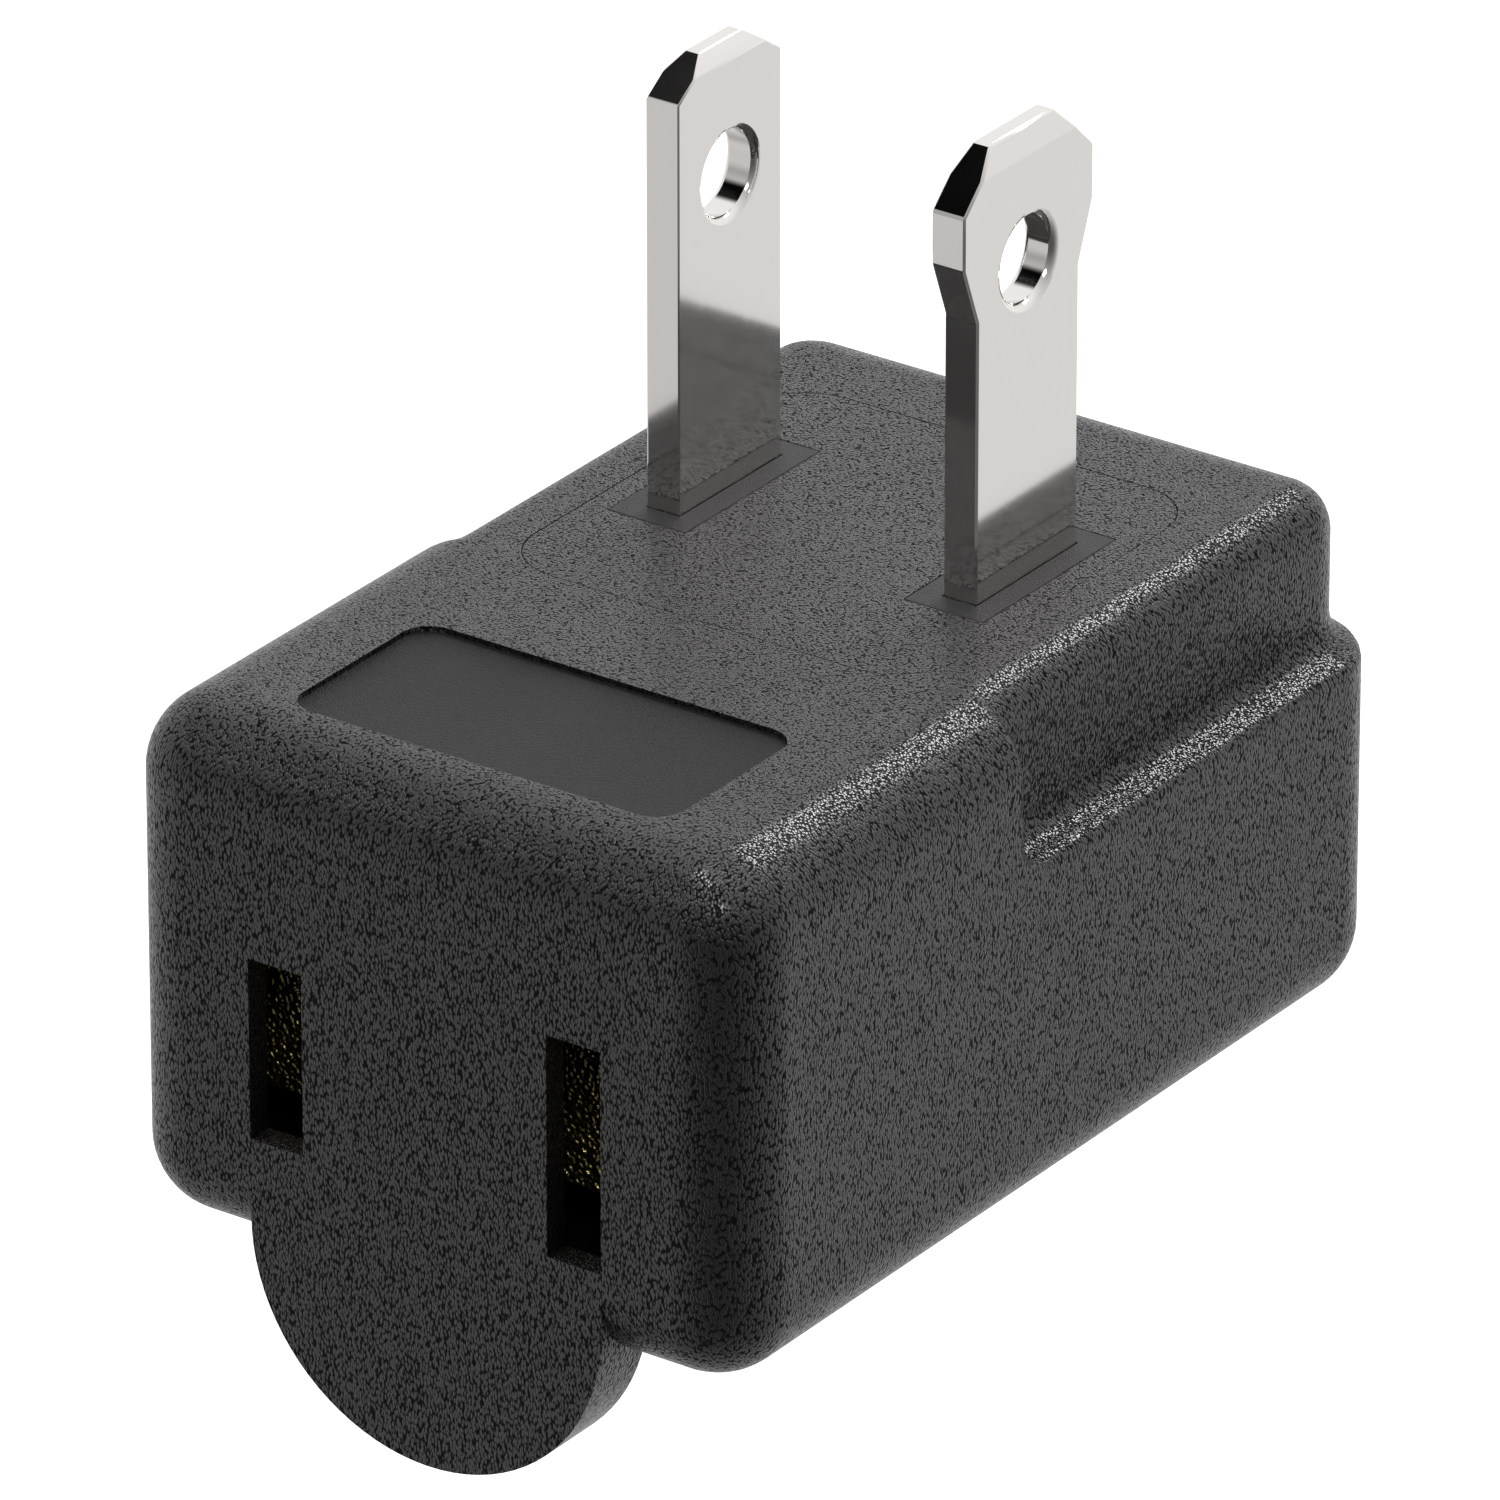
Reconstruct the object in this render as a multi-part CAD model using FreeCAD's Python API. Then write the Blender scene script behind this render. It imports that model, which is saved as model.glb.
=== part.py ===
import FreeCAD, Part
import math
import os
from FreeCAD import Vector

os.makedirs("parts", exist_ok=True)

# Right angle plug adapter, in millimetres.
# The plug face lies in z = 0 and the blades stand up from it along +Z. The origin is on
# that face, halfway between the two blades. The receptacle face looks along -Y.
# The hot (narrow) pole is on the -X side and the neutral (wide) pole on the +X side.

# Moulded body
body_width = 26.6
body_height = 20.09
front_to_blades = 26.34
blades_to_rear = 14.17
body_edge_radius = 3.0

# Thumb recess along the upper rear of both sides
recess_depth = 1.4
recess_height = 6.2
recess_reach = 9.45
recess_edge_radius = 0.5
recess_corner_radius = 1.1
recess_edge_facets = 3
join_tolerance = 0.0005

# Walls of the hollow body
front_wall = 1.05
side_wall = 1.85
ledge_wall = 1.4
rear_wall = 1.8
floor_wall = 1.8
roof_wall = 2.4
room_corner_radius = 1.5

# Poles, shared by the blades, the contacts and the receptacle slots
pole_spacing = 12.7
slot_rise = 8.14
slot_width = 2.28
hot_slot_height = 7.03
neutral_slot_height = 8.57

# Blades
blade_length = 17.05
blade_thickness = 1.4
blade_width = 6.25
blade_hole_radius = 1.6
blade_hole_from_tip = 4.99
blade_hole_chamfer = 0.2
hot_tip_chamfer_width = 1.84
hot_tip_chamfer_height = 1.25
hot_tip_bevel_height = 0.6
hot_tip_thickness = 0.61
neutral_tip_width = 7.95
neutral_neck_from_tip = 6.27
neutral_flare_from_tip = 4.02
neutral_tip_chamfer_width = 2.04
neutral_tip_chamfer_height = 1.98
neutral_tip_bevel_height = 0.96
neutral_tip_thickness = 0.73
shoulder_width = 8.2
tang_corner = 0.8

# Face plate that closes the plug face
plate_side_margin = 0.93
plate_length = 18.05
plate_front = 9.7
plate_thickness = 1.4
plate_corner_radius = 2.5
plate_gap = 0.03
plate_seat = 0.8

# Collars moulded on the blades, which fill the two windows of the face plate
window_width = 3.4
window_length = 8.35
collar_gap = 0.03
collar_flange_thickness = 1.6
collar_flange_margin = 0.65
blade_gap = 0.03

# Brass contacts
contact_thickness = 0.6
mouth_depth = 3.7
mouth_reach = 3.4
lip_bend_radius = 0.7
throat_half_gap = 0.35
jaw_height = 7.0
jaw_length = 11.8
spring_length = 6.0
web_clearance = 0.35
web_length = 4.5
strip_height = 5.4
strip_pad_clearance = 1.0
strip_fillet = 1.2

# Rivets that join each contact to its blade
rivet_radius = 1.1
rivet_hole_gap = 0.05
rivet_head_radius = 1.75
rivet_head_height = 0.8
rivet_head_clearance = 0.3
rivet_tail_radius = 1.5
rivet_tail_height = 0.5

# Ribs inside the body
cradle_thickness = 1.6
cradle_notch_depth = 1.2
cradle_gap = 0.1
barrier_thickness = 1.6

# Pull tab and name recess
tab_radius = 7.5
tab_drop = 5.96
tab_thickness = 2.8
badge_width = 16.1
badge_length = 8.05
badge_front_margin = 3.05
badge_depth = 0.2
badge_corner_radius = 1.15

# Places that follow from the sizes above
half_width = body_width / 2
recess_half_width = half_width - recess_depth
front_y = -front_to_blades
rear_y = blades_to_rear
bottom_z = -body_height
ledge_z = -recess_height
room_front_y = front_y + front_wall
room_rear_y = rear_y - rear_wall
roof_z = -roof_wall
floor_z = bottom_z + floor_wall
pole_x = pole_spacing / 2
slot_z = bottom_z + slot_rise
plate_front_y = -plate_front
plate_rear_y = plate_front_y + plate_length
window_inner_x = pole_x - window_width / 2
window_outer_x = pole_x + window_width / 2
plate_half_width = window_outer_x + plate_side_margin
opening_half_width = plate_half_width + plate_gap - plate_seat
collar_bottom_z = -plate_thickness - collar_flange_thickness
mouth_y = front_y + mouth_depth
jaw_rear_y = mouth_y + jaw_length
web_top_z = slot_z - neutral_tip_width / 2 - web_clearance
seat_z = web_top_z - contact_thickness
cradle_top_z = seat_z + cradle_notch_depth
pad_top_z = collar_bottom_z - strip_pad_clearance
rivet_upper_z = pad_top_z - rivet_head_radius - rivet_head_clearance
rivet_lower_z = cradle_top_z + rivet_head_radius + rivet_head_clearance
blade_hole_z = blade_length - blade_hole_from_tip


def block(x0, x1, y0, y1, z0, z1):
    """Box between two corners."""
    return Part.makeBox(x1 - x0, y1 - y0, z1 - z0, Vector(x0, y0, z0))


def fused(first, others):
    """One solid from touching pieces, with merged faces."""
    return first.fuse(others).removeSplitter()


def mirrored(shape):
    """The same shape on the other side of the middle plane."""
    return shape.mirror(Vector(0, 0, 0), Vector(1, 0, 0))


def rounded_block(x0, x1, y0, y1, z0, z1, radius):
    """Box whose four upright edges are rounded."""
    solid = block(x0, x1, y0, y1, z0, z1)
    upright = [edge for edge in solid.Edges if abs(edge.tangentAt(edge.FirstParameter).z) > 0.9]
    return solid.makeFillet(radius, upright)


def arch(y, inset, low_z):
    """Outline across the body at y: flat top, two round shoulders, upright sides down to low_z."""
    side = half_width - inset
    radius = body_edge_radius - inset
    shoulder = side - radius
    middle = radius * math.sqrt(0.5)
    right_arc = Part.Arc(Vector(side, y, -radius), Vector(shoulder + middle, y, middle - radius),
                         Vector(shoulder, y, 0))
    left_arc = Part.Arc(Vector(-shoulder, y, 0), Vector(-shoulder - middle, y, middle - radius),
                        Vector(-side, y, -radius))
    curves = [
        Part.LineSegment(Vector(-side, y, low_z), Vector(side, y, low_z)),
        Part.LineSegment(Vector(side, y, low_z), Vector(side, y, -radius)),
        right_arc,
        Part.LineSegment(Vector(shoulder, y, 0), Vector(-shoulder, y, 0)),
        left_arc,
        Part.LineSegment(Vector(-side, y, -radius), Vector(-side, y, low_z)),
    ]
    return Part.Wire([curve.toShape() for curve in curves])


def rear_plan(z, inset, start_y):
    """Outline of the body seen from above at z: open to the front at start_y, two round rear corners."""
    side = half_width - inset
    radius = body_edge_radius
    corner = side - radius
    corner_y = rear_y - radius
    middle = radius * math.sqrt(0.5)
    right_arc = Part.Arc(Vector(side, corner_y, z), Vector(corner + middle, corner_y + middle, z),
                         Vector(corner, rear_y, z))
    left_arc = Part.Arc(Vector(-corner, rear_y, z), Vector(-corner - middle, corner_y + middle, z),
                        Vector(-side, corner_y, z))
    curves = [
        Part.LineSegment(Vector(-side, start_y, z), Vector(side, start_y, z)),
        Part.LineSegment(Vector(side, start_y, z), Vector(side, corner_y, z)),
        right_arc,
        Part.LineSegment(Vector(corner, rear_y, z), Vector(-corner, rear_y, z)),
        left_arc,
        Part.LineSegment(Vector(-side, corner_y, z), Vector(-side, start_y, z)),
    ]
    return Part.Wire([curve.toShape() for curve in curves])


def recess_edge_steps():
    """Run and inset along the recess's edge: a rounded outer edge, then a hollow fillet."""
    turns = [math.pi / 2 * step / recess_edge_facets for step in range(recess_edge_facets + 1)]
    outer = [(recess_edge_radius * math.sin(turn), recess_edge_radius * (1 - math.cos(turn)))
             for turn in turns]
    fillet = recess_depth - recess_edge_radius
    inner = [(recess_depth - fillet * math.sin(turn), recess_depth - fillet * (1 - math.cos(turn)))
             for turn in reversed(turns[:-1])]
    return outer + inner


def recess_corner():
    """Material that rounds the lower front corner of the recess on the +x side."""
    radius = recess_corner_radius
    edge = recess_edge_radius
    centre_y = -recess_reach + edge + radius
    centre_z = ledge_z + radius
    side = half_width
    deep = recess_half_width - 1
    bend = edge * math.sqrt(0.5)
    rim = Vector(side, centre_y, centre_z + radius + edge)
    middle = Vector(side - edge + bend, centre_y, centre_z + radius + edge - bend)
    foot = Vector(side - edge, centre_y, centre_z + radius)
    curves = [
        Part.LineSegment(Vector(side + 1, centre_y, centre_z), Vector(side + 1, centre_y, rim.z)),
        Part.LineSegment(Vector(side + 1, centre_y, rim.z), rim),
        Part.Arc(rim, middle, foot),
        Part.LineSegment(foot, Vector(deep, centre_y, foot.z)),
        Part.LineSegment(Vector(deep, centre_y, foot.z), Vector(deep, centre_y, centre_z)),
        Part.LineSegment(Vector(deep, centre_y, centre_z), Vector(side + 1, centre_y, centre_z)),
    ]
    profile = Part.Face(Part.Wire([curve.toShape() for curve in curves]))
    hollow = profile.revolve(Vector(0, centre_y, centre_z), Vector(1, 0, 0), 360)
    corner = block(recess_half_width, side, -recess_reach, centre_y, ledge_z - edge, centre_z)
    return corner.cut(hollow)


def body_skin():
    """Outside of the moulded body: a rounded block stepped in along its upper rear sides."""
    whole = block(-half_width, half_width, front_y, rear_y, bottom_z, 0)
    whole = whole.makeFillet(body_edge_radius, whole.Edges)
    start_y = -recess_reach
    start_z = ledge_z - recess_edge_radius
    front = whole.common(block(-body_width, body_width, 2 * front_y, start_y, 2 * bottom_z, -bottom_z))
    lower = whole.common(block(-body_width, body_width, start_y, 2 * rear_y, 2 * bottom_z, start_z))
    steps = recess_edge_steps()
    front_edge = Part.makeLoft([arch(start_y + run, inset, start_z) for run, inset in steps], True, True)
    ledge = Part.makeLoft([rear_plan(start_z + run, inset, start_y) for run, inset in steps], True, True)
    core_y = start_y + recess_depth
    core = Part.Face(arch(core_y, recess_depth, start_z)).extrude(Vector(0, rear_y - core_y, 0))
    rear_edges = [edge for edge in core.Edges
                  if abs(edge.CenterOfMass.y - rear_y) < 1e-6
                  and edge.CenterOfMass.z > start_z + 1e-6]
    core = core.makeFillet(body_edge_radius, rear_edges)
    stepped = fused(ledge, [core]).fuse(front_edge)
    stepped = fused(fused(stepped, [lower]), [front])
    corner = recess_corner()
    return stepped.fuse([corner, mirrored(corner)], join_tolerance)


def body_room():
    """Hollow of the body: a wide lower room and a narrower one above, beside the recesses."""
    lower_half = half_width - side_wall
    lower_top = ledge_z - ledge_wall
    lower = rounded_block(-lower_half, lower_half, room_front_y, room_rear_y,
                          floor_z, lower_top, room_corner_radius)
    upper_half = recess_half_width - side_wall
    upper = block(-upper_half, upper_half, room_front_y, room_rear_y, slot_z, roof_z)
    return lower.fuse(upper)


def plate_opening():
    """Opening in the plug face: a seat as deep as the face plate and a smaller hole through it."""
    outer = plate_half_width + plate_gap
    seat = rounded_block(-outer, outer, plate_front_y - plate_gap, plate_rear_y + plate_gap,
                         -plate_thickness, 1, plate_corner_radius + plate_gap)
    hole = rounded_block(-opening_half_width, opening_half_width,
                         plate_front_y - plate_gap + plate_seat, plate_rear_y + plate_gap - plate_seat,
                         roof_z - 1, 0, plate_corner_radius + plate_gap - plate_seat)
    return seat.fuse(hole)


def slots():
    """The two upright slots in the receptacle face."""
    hot = block(-pole_x - slot_width / 2, -pole_x + slot_width / 2, front_y - 1, room_front_y + 1,
                slot_z - hot_slot_height / 2, slot_z + hot_slot_height / 2)
    neutral = block(pole_x - slot_width / 2, pole_x + slot_width / 2, front_y - 1, room_front_y + 1,
                    slot_z - neutral_slot_height / 2, slot_z + neutral_slot_height / 2)
    return hot.fuse(neutral)


def pull_tab():
    """Half-round tab under the receptacle face, flush with it."""
    centre_z = bottom_z - tab_drop + tab_radius
    disc = Part.makeCylinder(tab_radius, tab_thickness, Vector(0, front_y, centre_z), Vector(0, 1, 0))
    below = disc.common(block(-tab_radius, tab_radius, front_y, front_y + tab_thickness,
                              centre_z - tab_radius, centre_z))
    root = block(-tab_radius, tab_radius, front_y, front_y + tab_thickness,
                 centre_z, bottom_z + body_edge_radius)
    return below.fuse(root)


def cradles():
    """Two notched ribs across the floor that carry the contacts and the blade tangs."""
    side = half_width - side_wall
    web_y = jaw_rear_y - web_length / 2
    channel_half = blade_thickness / 2 + contact_thickness + cradle_gap
    ribs = []
    for y in (web_y, 0.0):
        rib = block(-side, side, y - cradle_thickness / 2, y + cradle_thickness / 2,
                    floor_z, cradle_top_z)
        for pole in (-pole_x, pole_x):
            if y == web_y:
                x0, x1 = pole - channel_half, pole + channel_half
            else:
                inward = 1 if pole < 0 else -1
                edges = (pole - inward * (blade_thickness / 2 + cradle_gap), pole + inward * channel_half)
                x0, x1 = min(edges), max(edges)
            rib = rib.cut(block(x0, x1, y - cradle_thickness, y + cradle_thickness, seat_z, cradle_top_z + 1))
        ribs.append(rib)
    return ribs


def housing():
    """Hollow moulded body with everything that is part of it."""
    shell = body_skin().fuse(pull_tab())
    shell = shell.cut(body_room())
    shell = shell.cut(plate_opening())
    shell = shell.cut(slots())
    badge_y = front_y + badge_front_margin
    badge = rounded_block(-badge_width / 2, badge_width / 2, badge_y, badge_y + badge_length,
                          -badge_depth, 1, badge_corner_radius)
    shell = shell.cut(badge)
    barrier = block(-barrier_thickness / 2, barrier_thickness / 2, room_front_y, jaw_rear_y,
                    floor_z, roof_z)
    return fused(shell, [barrier] + cradles())


def window(side, gap, z0, z1):
    """Prism through one window of the face plate, smaller all round by the gap."""
    inner = window_inner_x + gap
    outer = window_outer_x - gap
    x0, x1 = (inner, outer) if side > 0 else (-outer, -inner)
    half = window_length / 2 - gap
    return block(x0, x1, -half, half, z0, z1)


def face_plate():
    """Rounded square plate set flush in the plug face, with a window for each blade."""
    plate = rounded_block(-plate_half_width, plate_half_width, plate_front_y, plate_rear_y,
                          -plate_thickness, 0, plate_corner_radius)
    for side in (-1, 1):
        plate = plate.cut(window(side, 0, -plate_thickness - 1, 1))
    return plate


def collar(side):
    """Smooth block round one blade: it fills the window and has a flange under the face plate."""
    lip = window(side, collar_gap, -plate_thickness, 0)
    inner = window_inner_x - collar_flange_margin
    outer = opening_half_width - collar_gap
    x0, x1 = (inner, outer) if side > 0 else (-outer, -inner)
    half = window_length / 2 + collar_flange_margin
    flange = block(x0, x1, -half, half, collar_bottom_z, -plate_thickness)
    passage_x = blade_thickness / 2 + blade_gap
    passage_y = blade_width / 2 + blade_gap
    passage = block(side * pole_x - passage_x, side * pole_x + passage_x, -passage_y, passage_y,
                    collar_bottom_z - 1, 1)
    return lip.fuse(flange).removeSplitter().cut(passage)


def tip_bevel(tip_thickness, bevel_height):
    """Prism along Y that thins the last stretch of a blade on both faces."""
    full = blade_thickness / 2
    thin = tip_thickness / 2
    side = blade_thickness
    bevel_z = blade_length - bevel_height
    corners = [
        (-side, 2 * bottom_z), (side, 2 * bottom_z), (side, bevel_z), (full, bevel_z),
        (thin, blade_length), (-thin, blade_length), (-full, bevel_z), (-side, bevel_z),
    ]
    points = [Vector(x, -shoulder_width, z) for x, z in corners]
    profile = Part.makePolygon(points + points[:1])
    return Part.Face(profile).extrude(Vector(0, 2 * shoulder_width, 0))


def blade(side, outline, tip_thickness, bevel_height):
    """Stamped blade with its tang: half outlines from the tip down, mirrored about the middle."""
    half_tang = shoulder_width / 2
    half_blade = blade_width / 2
    down = outline + [
        (half_blade, collar_bottom_z), (half_tang, collar_bottom_z),
        (half_tang, seat_z + tang_corner), (half_tang - tang_corner, seat_z),
    ]
    points = [Vector(-blade_thickness / 2, y, z) for y, z in down]
    points += [Vector(-blade_thickness / 2, -y, z) for y, z in reversed(down)]
    plate = Part.Face(Part.makePolygon(points + points[:1])).extrude(Vector(blade_thickness, 0, 0))
    plate = plate.common(tip_bevel(tip_thickness, bevel_height))
    hole = Part.makeCylinder(blade_hole_radius, 2 * blade_thickness,
                             Vector(-blade_thickness, 0, blade_hole_z), Vector(1, 0, 0))
    plate = plate.cut(hole)
    rims = [edge for edge in plate.Edges
            if edge.Curve.TypeId == "Part::GeomCircle" and abs(edge.Curve.Radius - blade_hole_radius) < 1e-6]
    plate = plate.makeChamfer(blade_hole_chamfer, rims)
    plate.translate(Vector(side * pole_x, 0, 0))
    return plate.cut(rivet_holes(side))


def hot_blade():
    """Narrow blade: straight sides and a chamfered tip."""
    half = blade_width / 2
    outline = [
        (half - hot_tip_chamfer_width, blade_length),
        (half, blade_length - hot_tip_chamfer_height),
    ]
    return blade(-1, outline, hot_tip_thickness, hot_tip_bevel_height)


def neutral_blade():
    """Polarised blade: a straight neck that flares out to a wide tip."""
    half = neutral_tip_width / 2
    outline = [
        (half - neutral_tip_chamfer_width, blade_length),
        (half, blade_length - neutral_tip_chamfer_height),
        (half, blade_length - neutral_flare_from_tip),
        (blade_width / 2, blade_length - neutral_neck_from_tip),
    ]
    return blade(1, outline, neutral_tip_thickness, neutral_tip_bevel_height)


def rivet_holes(side):
    """The two cross holes for the rivets of one pole."""
    radius = rivet_radius + rivet_hole_gap
    reach = blade_thickness + contact_thickness
    holes = [Part.makeCylinder(radius, 2 * reach, Vector(side * pole_x - reach, 0, z), Vector(1, 0, 0))
             for z in (rivet_upper_z, rivet_lower_z)]
    return holes[0].fuse(holes[1])


def leaf():
    """One spring leaf of a jaw in plan, from its rear end to the lip that turns out at the mouth.
    The pole's middle plane is x = 0 and the leaf lies on its +x side."""
    near = blade_thickness / 2
    throat = throat_half_gap
    outer_radius = lip_bend_radius + contact_thickness
    lip_y = mouth_y + outer_radius
    spring_y = lip_y + spring_length
    centre_x = throat + outer_radius
    low_z = slot_z - jaw_height / 2
    diagonal = math.sqrt(0.5)

    def at(x, y):
        return Vector(x, y, low_z)

    curves = [
        Part.LineSegment(at(near, jaw_rear_y), at(near, spring_y)),
        Part.LineSegment(at(near, spring_y), at(throat, lip_y)),
        Part.Arc(at(throat, lip_y),
                 at(centre_x - outer_radius * diagonal, lip_y - outer_radius * diagonal),
                 at(centre_x, mouth_y)),
        Part.LineSegment(at(centre_x, mouth_y), at(mouth_reach, mouth_y)),
        Part.LineSegment(at(mouth_reach, mouth_y), at(mouth_reach, mouth_y + contact_thickness)),
        Part.LineSegment(at(mouth_reach, mouth_y + contact_thickness),
                         at(centre_x, mouth_y + contact_thickness)),
        Part.Arc(at(centre_x, mouth_y + contact_thickness),
                 at(centre_x - lip_bend_radius * diagonal, lip_y - lip_bend_radius * diagonal),
                 at(throat + contact_thickness, lip_y)),
        Part.LineSegment(at(throat + contact_thickness, lip_y), at(near + contact_thickness, spring_y)),
        Part.LineSegment(at(near + contact_thickness, spring_y), at(near + contact_thickness, jaw_rear_y)),
        Part.LineSegment(at(near + contact_thickness, jaw_rear_y), at(near, jaw_rear_y)),
    ]
    outline = Part.Wire([curve.toShape() for curve in curves])
    return Part.Face(outline).extrude(Vector(0, 0, jaw_height))


def jaw_web():
    """Folded channel under the rear of a jaw, which joins its two leaves."""
    near = blade_thickness / 2
    outer = near + contact_thickness
    y0 = jaw_rear_y - web_length
    channel = block(-outer, outer, y0, jaw_rear_y, seat_z, slot_z)
    folds = [edge for edge in channel.Edges
             if abs(edge.tangentAt(edge.FirstParameter).y) > 0.9 and edge.CenterOfMass.z < slot_z - 1]
    channel = channel.makeFillet(contact_thickness, folds)
    return channel.cut(block(-near, near, y0 - 1, jaw_rear_y + 1, web_top_z, slot_z + 1))


def contact(side):
    """Folded brass contact: a jaw behind its slot and a strip back to the blade's inner face."""
    near = blade_thickness / 2
    jaw_top_z = slot_z + jaw_height / 2
    strip_top_z = slot_z + strip_height / 2
    strip_low_z = slot_z - strip_height / 2
    half_pad = blade_width / 2
    corners = [
        (jaw_rear_y, strip_low_z), (-half_pad, strip_low_z), (-half_pad, seat_z), (half_pad, seat_z),
        (half_pad, pad_top_z), (-half_pad, pad_top_z), (-half_pad, strip_top_z), (jaw_rear_y, strip_top_z),
    ]
    points = [Vector(near, y, z) for y, z in corners]
    strip = Part.Face(Part.makePolygon(points + points[:1])).extrude(Vector(contact_thickness, 0, 0))
    inside_corners = [edge for edge in strip.Edges
                      if abs(edge.CenterOfMass.y + half_pad) < 1e-6
                      and strip_low_z - 1e-6 < edge.CenterOfMass.z < strip_top_z + 1e-6
                      and abs(edge.tangentAt(edge.FirstParameter).x) > 0.9]
    strip = strip.makeFillet(strip_fillet, inside_corners)
    one_leaf = leaf()
    piece = fused(one_leaf, [mirrored(one_leaf), jaw_web(), strip])
    if side > 0:
        piece = mirrored(piece)
    piece.translate(Vector(side * pole_x, 0, 0))
    return piece.cut(rivet_holes(side))


def rivet(side, z):
    """Solid rivet through contact and blade, with its head inside and its tail on the outer face."""
    inner = blade_thickness / 2 + contact_thickness
    outer = -blade_thickness / 2
    solid = Part.makeCylinder(rivet_radius, inner - outer, Vector(outer, 0, 0), Vector(1, 0, 0))
    head = Part.makeCylinder(rivet_head_radius, rivet_head_height, Vector(inner, 0, 0), Vector(1, 0, 0))
    tail = Part.makeCylinder(rivet_tail_radius, rivet_tail_height, Vector(outer, 0, 0), Vector(-1, 0, 0))
    solid = fused(solid, [head, tail])
    if side > 0:
        solid = mirrored(solid)
    solid.translate(Vector(side * pole_x, 0, z))
    return solid


pieces = {
    "housing": housing(),
    "face_plate": face_plate(),
    "hot_collar": collar(-1),
    "neutral_collar": collar(1),
    "hot_blade": hot_blade(),
    "neutral_blade": neutral_blade(),
    "hot_contact": contact(-1),
    "neutral_contact": contact(1),
    "hot_rivet_upper": rivet(-1, rivet_upper_z),
    "hot_rivet_lower": rivet(-1, rivet_lower_z),
    "neutral_rivet_upper": rivet(1, rivet_upper_z),
    "neutral_rivet_lower": rivet(1, rivet_lower_z),
}

for node, shape in pieces.items():
    shape.exportStep("parts/" + node + ".step")
    box = shape.BoundBox
    print(node, "solids", len(shape.Solids), "valid", shape.isValid(), "volume", round(shape.Volume, 2),
          "x", round(box.XMin, 2), round(box.XMax, 2), "y", round(box.YMin, 2), round(box.YMax, 2),
          "z", round(box.ZMin, 2), round(box.ZMax, 2))
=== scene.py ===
import bpy
import math
from mathutils import Matrix, Vector


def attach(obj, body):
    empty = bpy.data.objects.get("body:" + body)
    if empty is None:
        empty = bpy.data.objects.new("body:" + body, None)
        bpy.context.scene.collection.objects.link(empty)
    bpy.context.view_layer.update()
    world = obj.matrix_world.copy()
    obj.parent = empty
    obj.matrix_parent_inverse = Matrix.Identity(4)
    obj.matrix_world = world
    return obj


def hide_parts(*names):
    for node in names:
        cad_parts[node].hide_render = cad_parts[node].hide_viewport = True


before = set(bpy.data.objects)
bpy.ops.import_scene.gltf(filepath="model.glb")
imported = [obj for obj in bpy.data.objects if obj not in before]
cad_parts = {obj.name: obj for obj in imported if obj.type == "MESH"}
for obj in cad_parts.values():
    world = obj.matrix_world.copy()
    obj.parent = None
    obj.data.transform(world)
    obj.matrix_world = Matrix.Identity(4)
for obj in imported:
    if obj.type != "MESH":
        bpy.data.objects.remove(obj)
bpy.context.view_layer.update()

# Blades. Each is stamped from brass sheet with its tang and nickel-plated. Its flats are polished
# and its edges are broken by a narrow chamfer, so each facet mirrors a different side.
mm = 0.001
blade_chamfer = 0.08 * mm
nickel_colour = (0.82, 0.795, 0.77, 1)
nickel_roughness = 0.09
gloss_change = 0.2
gloss_clouds_per_metre = 260
merge_distance = 0.002 * mm
flat_angle = math.radians(0.3)
smooth_angle = math.radians(38)
crisp_angle = math.radians(20)


def merged_copy(node, name):
    """A closed mesh of its own from a node's loose triangles, with each flat face in one piece."""
    bpy.ops.object.select_all(action="DESELECT")
    piece = bpy.data.objects.new(name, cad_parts[node].data.copy())
    bpy.context.scene.collection.objects.link(piece)
    bpy.context.view_layer.objects.active = piece
    piece.select_set(True)
    piece.data.materials.clear()
    bpy.ops.object.mode_set(mode="EDIT")
    bpy.ops.mesh.select_all(action="SELECT")
    bpy.ops.mesh.remove_doubles(threshold=merge_distance)
    bpy.ops.mesh.dissolve_limited(angle_limit=flat_angle)
    bpy.ops.object.mode_set(mode="OBJECT")
    return piece


def round_edges(piece, width, segments=2, sharpest=smooth_angle):
    """Rounds a piece's sharp edges to the width and shades it smooth, with flat faces kept flat."""
    bpy.ops.object.select_all(action="DESELECT")
    bpy.context.view_layer.objects.active = piece
    piece.select_set(True)
    bevel = piece.modifiers.new("edge round", "BEVEL")
    bevel.width = width
    bevel.segments = segments
    bevel.limit_method = "ANGLE"
    bevel.angle_limit = sharpest
    bpy.ops.object.modifier_apply(modifier=bevel.name)
    bpy.ops.object.shade_smooth_by_angle(angle=sharpest)
    weights = piece.modifiers.new("flat faces", "WEIGHTED_NORMAL")
    weights.keep_sharp = True
    bpy.ops.object.modifier_apply(modifier=weights.name)


def fit(piece, node):
    """Stands the piece in for its node: hides the node and hangs the piece on the root body."""
    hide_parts(node)
    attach(piece, "root")


def new_material(name):
    """An empty physically based material: its nodes, its links and its shader."""
    material = bpy.data.materials.new(name)
    material.use_nodes = True
    nodes = material.node_tree.nodes
    return material, nodes, material.node_tree.links, nodes["Principled BSDF"]


def noise(nodes, links, per_metre, detail):
    """The level of a noise pattern that stays fixed on the piece."""
    place = nodes.new("ShaderNodeTexCoord")
    pattern = nodes.new("ShaderNodeTexNoise")
    pattern.inputs["Scale"].default_value = per_metre
    pattern.inputs["Detail"].default_value = detail
    links.new(place.outputs["Object"], pattern.inputs["Vector"])
    return pattern.outputs["Fac"]


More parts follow.
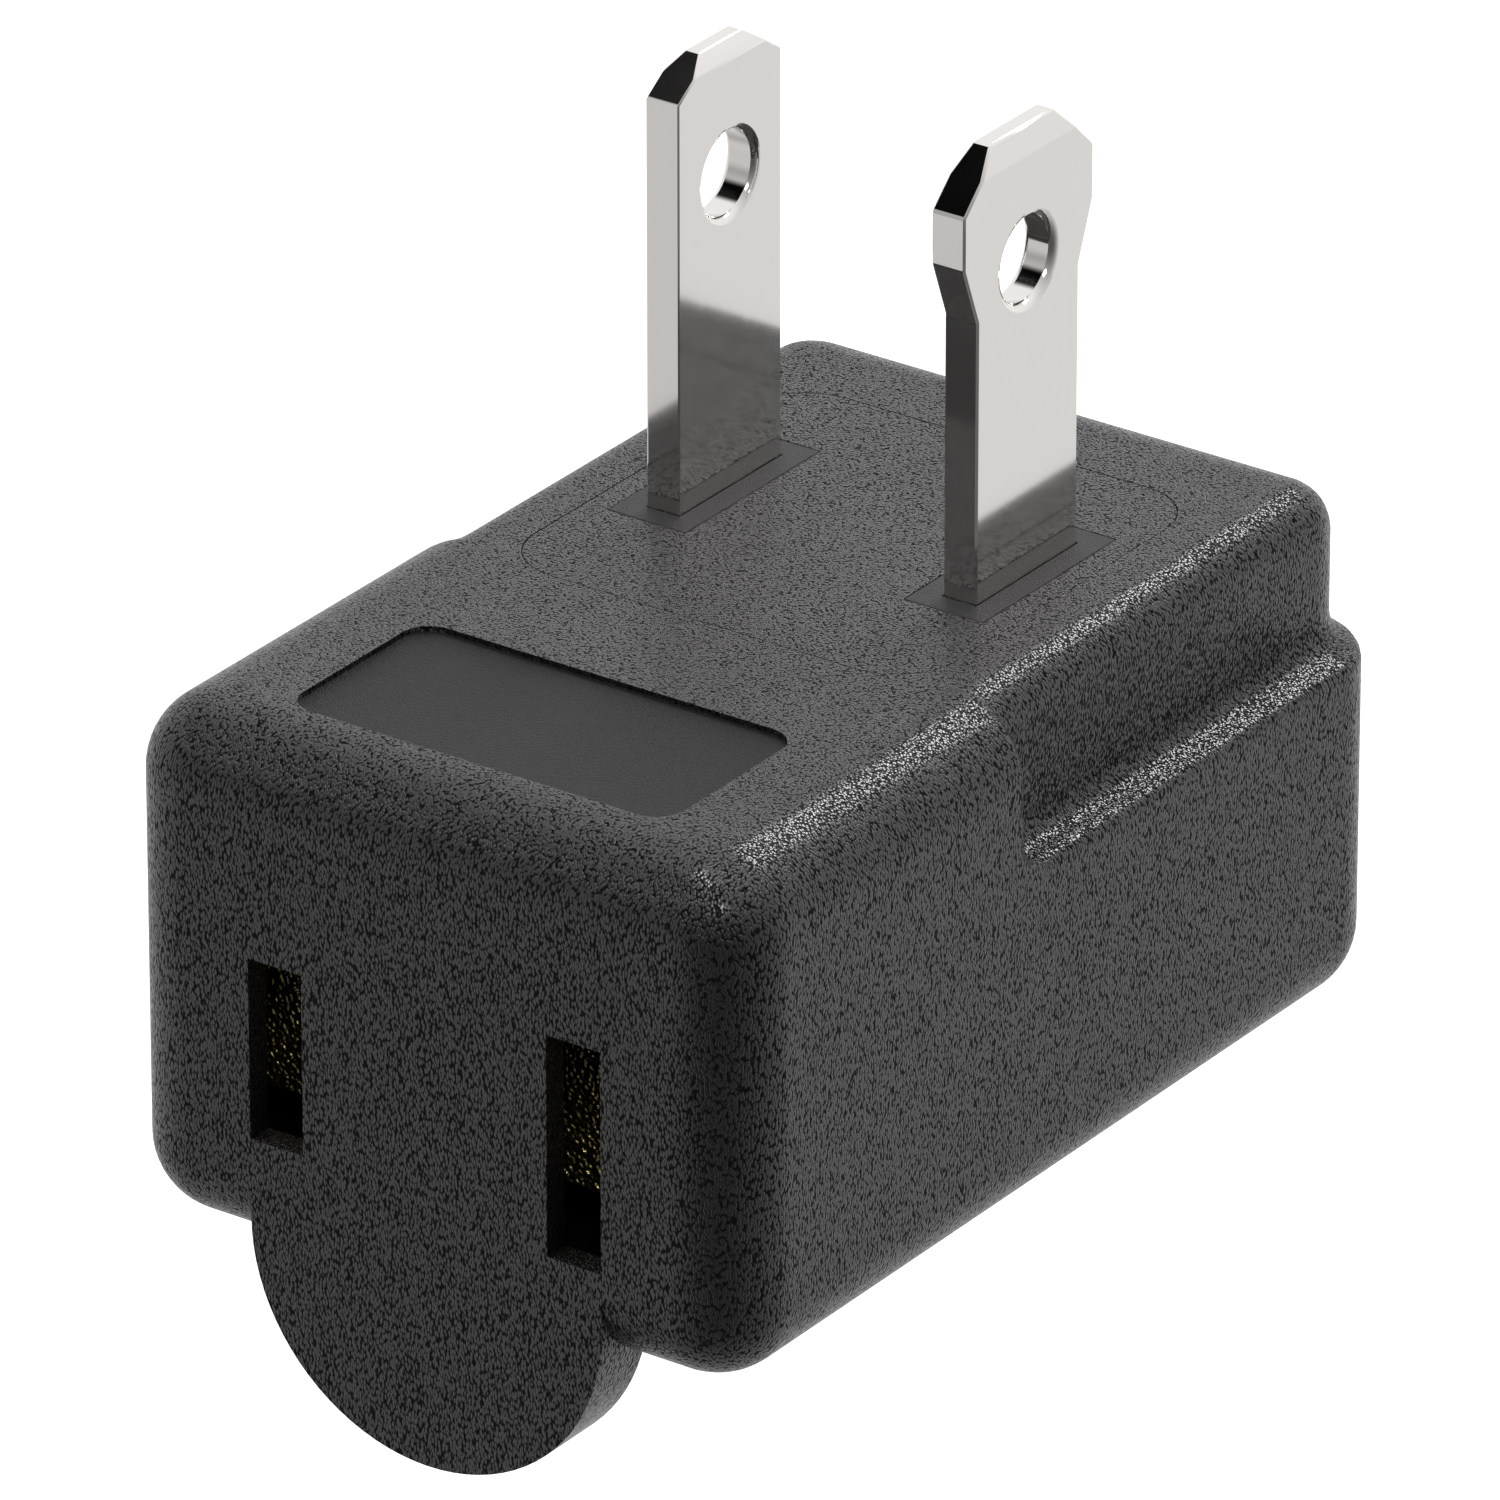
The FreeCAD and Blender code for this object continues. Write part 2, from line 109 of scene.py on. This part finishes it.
def ranged(nodes, links, value, start, end, at_start, at_end, smooth=False):
    """A level that changes from one number to another while the value goes from start to end."""
    level = nodes.new("ShaderNodeMapRange")
    level.interpolation_type = "SMOOTHSTEP" if smooth else "LINEAR"
    level.inputs["From Min"].default_value = start
    level.inputs["From Max"].default_value = end
    level.inputs["To Min"].default_value = at_start
    level.inputs["To Max"].default_value = at_end
    links.new(value, level.inputs["Value"])
    return level.outputs["Result"]


def nickel():
    """Polished nickel plate with a slow, faint change of gloss."""
    material, nodes, links, shader = new_material("nickel plate")
    shader.inputs["Metallic"].default_value = 1
    shader.inputs["Base Color"].default_value = nickel_colour
    clouds = noise(nodes, links, gloss_clouds_per_metre, 4)
    gloss = ranged(nodes, links, clouds, 0, 1,
                   nickel_roughness * (1 - gloss_change), nickel_roughness * (1 + gloss_change))
    links.new(gloss, shader.inputs["Roughness"])
    return material


nickel_plate = nickel()
for pole in ("hot", "neutral"):
    blade = merged_copy(pole + "_blade", pole + "_blade_plated")
    round_edges(blade, blade_chamfer, segments=1, sharpest=crisp_angle)
    blade.data.materials.append(nickel_plate)
    fit(blade, pole + "_blade")

# Contacts and rivets. The jaws are folded from bare rolled brass strip and riveted to the
# blades' tangs. Only their lips show, as gold deep in the slots.
brass_colour = (0.8, 0.66, 0.26, 1)
brass_roughness = 0.3
dimple_spacing = 0.16 * mm
dimple_depth = 0.2 * mm
contact_edge_round = 0.06 * mm


def emboss(nodes, links, shader, height, depth):
    """Gives the surface the relief of the height, as deep as the depth."""
    bump = nodes.new("ShaderNodeBump")
    bump.inputs["Strength"].default_value = 1
    bump.inputs["Distance"].default_value = depth
    links.new(height, bump.inputs["Height"])
    links.new(bump.outputs["Normal"], shader.inputs["Normal"])


def brass():
    """Bare rolled brass: warm metal, dimpled by the tool that folded it."""
    material, nodes, links, shader = new_material("rolled brass")
    shader.inputs["Metallic"].default_value = 1
    shader.inputs["Base Color"].default_value = brass_colour
    shader.inputs["Roughness"].default_value = brass_roughness
    emboss(nodes, links, shader, noise(nodes, links, 1 / dimple_spacing, 0), dimple_depth)
    return material


rolled_brass = brass()
for pole in ("hot", "neutral"):
    jaw = merged_copy(pole + "_contact", pole + "_contact_brass")
    round_edges(jaw, contact_edge_round)
    jaw.data.materials.append(rolled_brass)
    fit(jaw, pole + "_contact")
    for place in ("upper", "lower"):
        rivet = merged_copy(pole + "_rivet_" + place, pole + "_rivet_" + place + "_brass")
        round_edges(rivet, contact_edge_round)
        rivet.data.materials.append(rolled_brass)
        fit(rivet, pole + "_rivet_" + place)

# Collars. They are moulded on the blades in a smooth, unpainted black plastic without the leather
# grain of the housing, and fill the windows of the face plate.
collar_colour = (0.008, 0.008, 0.0082, 1)
collar_roughness = 0.4
collar_specular = 0.36
collar_edge_round = 0.05 * mm
collar_grain_spacing = 0.06 * mm
collar_grain_depth = 0.05 * mm


def smooth_plastic(name, specular):
    """Plain moulded plastic with a faint, very fine grain from the mould's eroded surface."""
    material, nodes, links, shader = new_material(name)
    shader.inputs["Base Color"].default_value = collar_colour
    shader.inputs["Roughness"].default_value = collar_roughness
    shader.inputs["Specular IOR Level"].default_value = specular
    grain = noise(nodes, links, 1 / collar_grain_spacing, 1)
    emboss(nodes, links, shader, grain, collar_grain_depth)
    return material


collar_plastic = smooth_plastic("smooth black plastic", collar_specular)
for pole in ("hot", "neutral"):
    collar = merged_copy(pole + "_collar", pole + "_collar_moulded")
    round_edges(collar, collar_edge_round)
    collar.data.materials.append(collar_plastic)
    fit(collar, pole + "_collar")

# Face plate and housing. Both are moulded in the same black plastic from moulds with a fine
# leather grain: glossy, slightly domed ridges drawn out upwards. In the valleys between the ridges
# the gloss is turned almost to nothing, as painted shade for the light that the valleys would trap.
# The shallow recess in the top has a smooth, matt floor.
shell_colour = (0.006, 0.006, 0.0061, 1)
shell_roughness = 0.24
grain_spacing = 0.1 * mm
grain_stretch = 0.52
cell_randomness = 0.9
grain_skew = (0.6, 0.45, 0.8)
grain_depth = 0.03 * mm
dome_top = 0.3
dome_foot = 0.88
# Between these two cell distances the gloss falls from the ridges' level to the valleys' level:
# painted shade in the valleys.
painted_shade_to = 0.38
painted_shade_from = 0.74
ridge_specular = 0.82
painted_valley_shade_specular = 0.03
shell_edge_round = 0.03 * mm
top_recess_floor_height = -0.2 * mm
top_recess_floor_margin = 0.003 * mm
level_normal = 0.99
top_recess_specular = 0.19


def grained_plastic():
    """Black plastic with the mould's leather grain: cells whose lattice is skewed to every face,
    with painted shade in their valleys.
    """
    material, nodes, links, shader = new_material("grained black plastic")
    shader.inputs["Base Color"].default_value = shell_colour
    shader.inputs["Roughness"].default_value = shell_roughness
    place = nodes.new("ShaderNodeTexCoord")
    stretch = nodes.new("ShaderNodeMapping")
    stretch.inputs["Scale"].default_value = (1, 1, grain_stretch)
    skew = nodes.new("ShaderNodeMapping")
    skew.inputs["Rotation"].default_value = grain_skew
    cells = nodes.new("ShaderNodeTexVoronoi")
    cells.inputs["Scale"].default_value = 1 / grain_spacing
    cells.inputs["Randomness"].default_value = cell_randomness
    links.new(place.outputs["Object"], stretch.inputs["Vector"])
    links.new(stretch.outputs["Vector"], skew.inputs["Vector"])
    links.new(skew.outputs["Vector"], cells.inputs["Vector"])
    from_middle = cells.outputs["Distance"]
    dome = ranged(nodes, links, from_middle, dome_foot, dome_top, 0, 1, smooth=True)
    # Painted shade: the gloss is cut in the valleys of the grain, where the ridges would keep the
    # light out.
    valley_shade_gloss = ranged(nodes, links, from_middle, painted_shade_from, painted_shade_to,
                   painted_valley_shade_specular, ridge_specular, smooth=True)
    links.new(valley_shade_gloss, shader.inputs["Specular IOR Level"])
    emboss(nodes, links, shader, dome, grain_depth)
    return material


shell_plastic = grained_plastic()
top_recess_plastic = smooth_plastic("matt black plastic", top_recess_specular)
for node in ("face_plate", "housing"):
    shell = merged_copy(node, node + "_moulded")
    round_edges(shell, shell_edge_round)
    shell.data.materials.append(shell_plastic)
    shell.data.materials.append(top_recess_plastic)
    for face in shell.data.polygons:
        above_recess_floor = face.center.z - top_recess_floor_height
        if abs(above_recess_floor) < top_recess_floor_margin and face.normal.z > level_normal:
            face.material_index = 1
    fit(shell, node)

# Floor. A plain sheet of matt white paper lies far below the adapter, which hangs free of it as in
# a shop picture. It looks white to the camera and keeps the adapter's soft shadow.
floor_drop = 0.14
floor_size = 4.0
floor_colour = (0.9, 0.9, 0.9, 1)
floor_roughness = 0.9
floor_camera_glow = 0.6

bpy.ops.object.select_all(action="DESELECT")
bpy.ops.mesh.primitive_plane_add(size=floor_size, location=(0, 0, -floor_drop))
floor = bpy.context.object
floor.name = "floor"
paper, nodes, links, shader = new_material("white paper")
shader.inputs["Base Color"].default_value = floor_colour
shader.inputs["Roughness"].default_value = floor_roughness
shader.inputs["Emission Color"].default_value = (1, 1, 1, 1)
path = nodes.new("ShaderNodeLightPath")
glow = nodes.new("ShaderNodeMath")
glow.operation = "MULTIPLY"
glow.inputs[1].default_value = floor_camera_glow
links.new(path.outputs["Is Camera Ray"], glow.inputs[0])
links.new(glow.outputs["Value"], shader.inputs["Emission Strength"])
floor.data.materials.append(paper)
floor.visible_glossy = False

# Light. A white tent that darkens softly towards the side where the camera stands, a white
# reflector at the front left, a gap in the tent over the left, and three soft boxes.
tent_fill = 0.25
tent_dark_side = Vector((0.35, -0.83, -0.43))
tent_dark_level = 0.1
reflector_side = Vector((-0.55, -0.72, -0.42))
reflector_level = 0.35
gap_side = Vector((-0.53, -0.28, 0.8))
lamp_distance = 0.7

world = bpy.data.worlds.new("white tent")
bpy.context.scene.world = world
world.use_nodes = True
nodes = world.node_tree.nodes
links = world.node_tree.links
background = nodes["Background"]
background.inputs["Color"].default_value = (1, 1, 1, 1)
looked_at = nodes.new("ShaderNodeTexCoord")


def toward(side, far, near, at_far, at_near, smooth=True):
    """A level that changes from one cosine to another between a direction and the given side."""
    turned = nodes.new("ShaderNodeVectorMath")
    turned.operation = "DOT_PRODUCT"
    turned.inputs[1].default_value = side.normalized()
    links.new(looked_at.outputs["Generated"], turned.inputs[0])
    return ranged(nodes, links, turned.outputs["Value"], far, near, at_far, at_near, smooth)


def combined(operation, first, second):
    """Two levels put together."""
    node = nodes.new("ShaderNodeMath")
    node.operation = operation
    links.new(first, node.inputs[0])
    links.new(second, node.inputs[1])
    return node.outputs["Value"]


tent = toward(tent_dark_side, far=-0.6, near=0.95, at_far=1, at_near=tent_dark_level, smooth=False)
reflector = toward(reflector_side, far=0.76, near=0.97, at_far=0, at_near=reflector_level)
gap = toward(gap_side, far=0.87, near=0.97, at_far=1, at_near=0)
mirrored_level = combined("MULTIPLY", combined("ADD", tent, reflector), gap)
path = nodes.new("ShaderNodeLightPath")
strength = nodes.new("ShaderNodeMix")
strength.inputs["A"].default_value = tent_fill
mirrored = combined("MAXIMUM", path.outputs["Is Glossy Ray"], path.outputs["Is Transmission Ray"])
links.new(mirrored, strength.inputs["Factor"])
links.new(mirrored_level, strength.inputs["B"])
seen = combined("MAXIMUM", path.outputs["Is Camera Ray"], strength.outputs["Result"])
links.new(seen, background.inputs["Strength"])


def soft_lamp(name, direction, width, height, watts):
    """A rectangular soft box in a direction from the adapter, facing it."""
    lamp = bpy.data.lights.new(name, "AREA")
    lamp.shape = "RECTANGLE"
    lamp.size = width
    lamp.size_y = height
    lamp.energy = watts
    item = bpy.data.objects.new(name, lamp)
    bpy.context.scene.collection.objects.link(item)
    side = Vector(direction).normalized()
    item.location = side * lamp_distance
    item.rotation_euler = side.to_track_quat("Z", "Y").to_euler()


soft_lamp("rear lamp", direction=(0.02, 0.735, 0.675), width=0.34, height=0.15, watts=2.1)
soft_lamp("top lamp", direction=(-0.15, -0.28, 0.95), width=0.4, height=0.12, watts=2.2)
soft_lamp("front lamp", direction=(0.45, -0.6, 0.66), width=0.15, height=0.15, watts=1.0)

# Camera. It looks down on the receptacle face from the front right, through a long lens that keeps
# the adapter's upright edges almost parallel.
camera_azimuth = math.radians(35.146)
camera_elevation = math.radians(26.142)
camera_distance = 582.98 * mm
camera_right = -3.926 * mm
camera_up = -7.964 * mm
camera_lens = 396.74
camera_sensor = 36
camera_clip = (0.01, 10)

flat_share = math.cos(camera_elevation)
back = Vector((math.sin(camera_azimuth) * flat_share,
               -math.cos(camera_azimuth) * flat_share,
               math.sin(camera_elevation)))
right = Vector((math.cos(camera_azimuth), math.sin(camera_azimuth), 0))
up = back.cross(right)
lens = bpy.data.cameras.new("camera")
lens.lens = camera_lens
lens.sensor_width = camera_sensor
lens.clip_start, lens.clip_end = camera_clip
camera = bpy.data.objects.new("camera", lens)
bpy.context.scene.collection.objects.link(camera)
turn = Matrix((right, up, back)).transposed().to_4x4()
turn.translation = back * camera_distance + right * camera_right + up * camera_up
camera.matrix_world = turn
bpy.context.scene.camera = camera
bpy.context.scene.view_settings.view_transform = "Standard"
